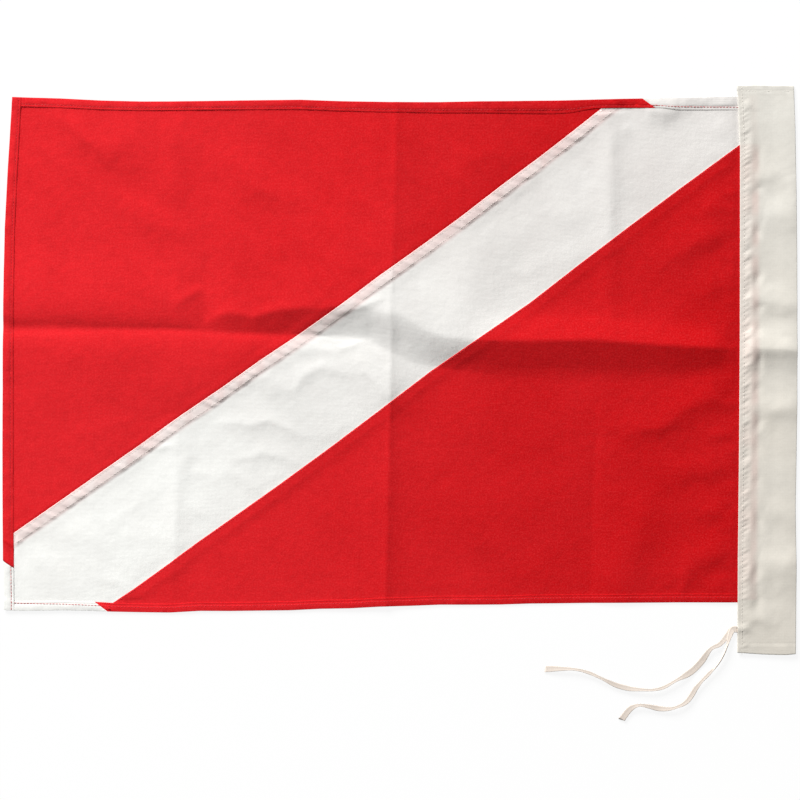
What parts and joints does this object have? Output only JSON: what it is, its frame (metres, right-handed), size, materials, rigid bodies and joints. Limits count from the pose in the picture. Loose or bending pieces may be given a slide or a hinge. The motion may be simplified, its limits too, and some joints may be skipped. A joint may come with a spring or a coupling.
{
  "type": "diver-down flag",
  "caption": "Sewn rectangular diver-down flag, red with a white diagonal stripe, with a sleeve for a pole along one side and a tie tape to keep it there.",
  "frame": {"origin": "middle of the flag's box, sleeve and fly together and the tie's tails left out, on the surface that it lies on", "axes": "+Z out of the flag's front, +X from the free edge towards the pole sleeve, +Y up along the sleeve to its closed end"},
  "size_m": [0.603, 0.4816, 0.0081],
  "materials": {
    "red_nylon": "plain-woven nylon, dyed red, soft sheen",
    "white_nylon": "plain-woven nylon, white, slightly see-through over the seams",
    "sleeve_canvas": "close-woven canvas, off-white, matt",
    "tie_tape": "flat woven tape, off-white, matt, cut ends"
  },
  "bodies": {
    "sleeve": {"pole_sleeve": "sleeve_canvas", "white_sewn_edge": "white_nylon", "red_sewn_edge": "red_nylon", "tie_sewn_end": "tie_tape", "tie_tail_upper": "tie_tape", "tie_tail_lower": "tie_tape"},
    "fly": {"upper_red_panel": "red_nylon", "white_diagonal_panel": "white_nylon", "lower_red_panel": "red_nylon"}
  },
  "joints": [
    {"name": "fly_fold", "type": "hinge", "parent": "sleeve", "child": "fly", "pos_m": [0.25718, 0.0158, 0.0024], "axis": [0, 1, 0], "range_deg": [0, 150]}
  ]
}
